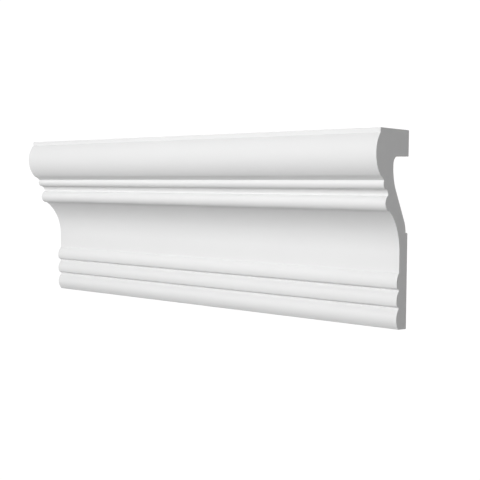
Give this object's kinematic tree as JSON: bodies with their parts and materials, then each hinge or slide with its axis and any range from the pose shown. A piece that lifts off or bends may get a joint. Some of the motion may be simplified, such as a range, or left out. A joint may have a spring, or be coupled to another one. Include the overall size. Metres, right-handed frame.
{
  "type": "wall moulding",
  "caption": "Straight length of classical wall moulding with a bulging cap, string, bead, cavetto, plain frieze, reeded foot and a hollow back between two wall lands.",
  "frame": {"origin": "on the wall plane, under the middle of the length and the middle of the height, as the moulding lies on its back", "axes": "+X along the length, +Y up the wall once fitted, +Z out of the wall"},
  "size_m": [0.38, 0.15, 0.0516],
  "materials": {
    "moulding": "smooth matte white primer on rigid foam, plain grey foam at the cut ends"
  },
  "bodies": {
    "root": {"wall_moulding": "moulding"}
  },
  "joints": []
}
